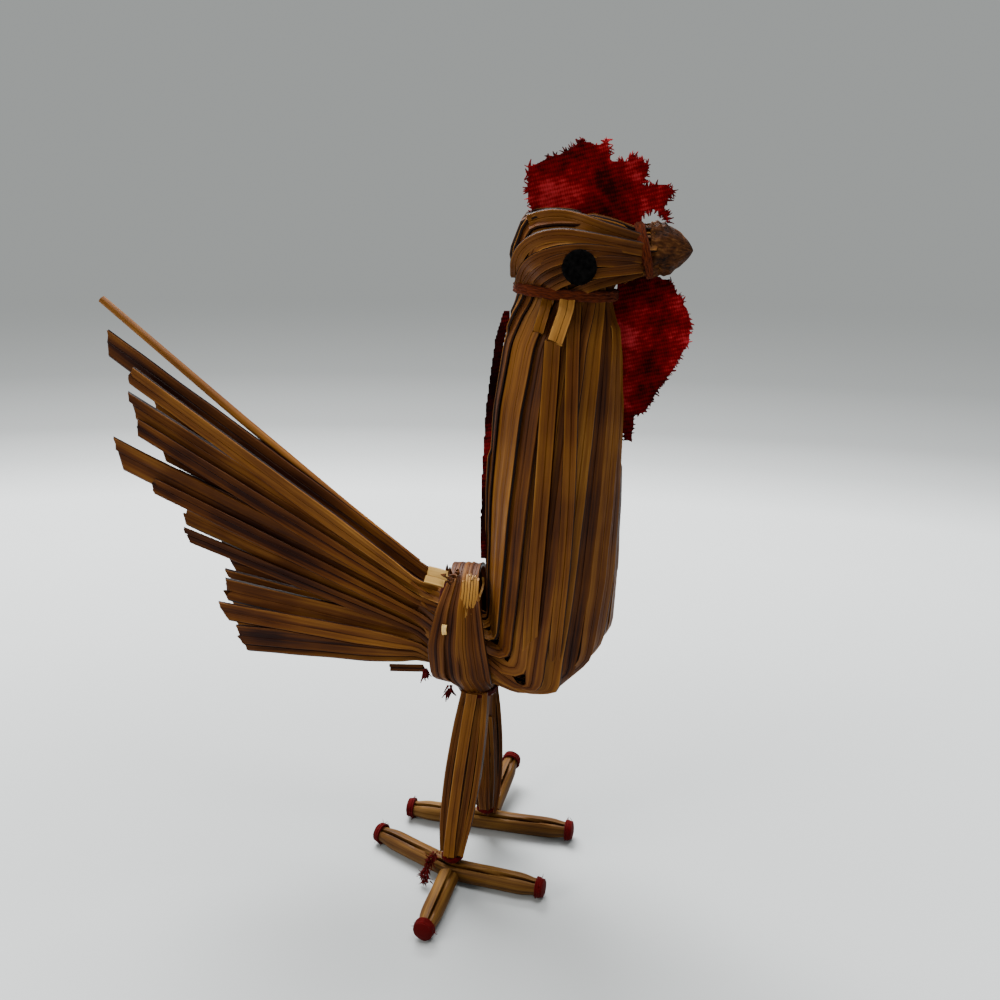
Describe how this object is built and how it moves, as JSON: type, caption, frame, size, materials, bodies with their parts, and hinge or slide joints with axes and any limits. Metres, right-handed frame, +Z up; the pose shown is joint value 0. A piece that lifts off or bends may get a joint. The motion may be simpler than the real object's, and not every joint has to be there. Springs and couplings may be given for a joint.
{
  "type": "straw ornament",
  "caption": "Standing straw rooster bent from a thread-bound bundle of flattened straws, with a fanned tail, toes with thread caps, a red cloth comb and wattle, and felt eyes.",
  "frame": {"origin": "on the table, under the middle of the rooster's bounding box", "axes": "+Z up, +X towards the beak, +Y towards the rooster's left side"},
  "size_m": [0.0958, 0.0473, 0.1236],
  "materials": {
    "straw": "dried flattened straw, satin",
    "pale_straw": "bright inner straw, glossy",
    "red_cloth": "open plain weave, frayed edges",
    "brown_cord": "twisted cotton cord",
    "red_thread": "wound cotton thread",
    "beak_brown": "wrinkled dry husk, matt",
    "black_felt": "felt, matt"
  },
  "bodies": {
    "root": {"body_straw_01": "straw", "body_straw_02": "straw", "body_straw_03": "straw", "body_straw_04": "straw", "body_straw_05": "straw", "body_straw_06": "straw", "body_straw_07": "straw", "body_straw_08": "straw", "body_straw_09": "straw", "body_straw_10": "straw", "body_straw_11": "straw", "body_straw_12": "straw", "body_straw_13": "straw", "body_straw_14": "straw", "body_straw_15": "straw", "body_straw_16": "straw", "body_straw_17": "straw", "body_straw_18": "straw", "body_straw_19": "straw", "body_straw_20": "straw", "body_straw_21": "straw", "body_straw_22": "straw", "leg_and_saddle_straw_1": "straw", "leg_and_saddle_straw_2": "straw", "leg_and_saddle_straw_3": "straw", "leg_and_saddle_straw_4": "straw", "leg_and_saddle_straw_5": "straw", "near_foot_long_straw": "straw", "near_foot_side_toe": "straw", "near_foot_back_toe_cap": "red_thread", "near_foot_front_toe_cap": "red_thread", "near_foot_outer_toe_cap": "red_thread", "near_ankle_tie": "red_thread", "near_eye": "black_felt", "far_foot_long_straw": "straw", "far_foot_side_toe": "straw", "far_foot_back_toe_cap": "red_thread", "far_foot_front_toe_cap": "red_thread", "far_foot_outer_toe_cap": "red_thread", "far_ankle_tie": "red_thread", "far_eye": "black_felt", "neck_tie": "brown_cord", "beak_tie": "brown_cord", "waist_tie": "red_thread", "leg_tie": "red_thread", "comb_cloth": "red_cloth", "wattle_cloth": "red_cloth", "back_ribbon": "red_cloth", "beak": "beak_brown", "thin_tail_stalk": "straw", "pale_cut_stub": "pale_straw", "dark_cut_stub": "straw"}
  },
  "joints": []
}
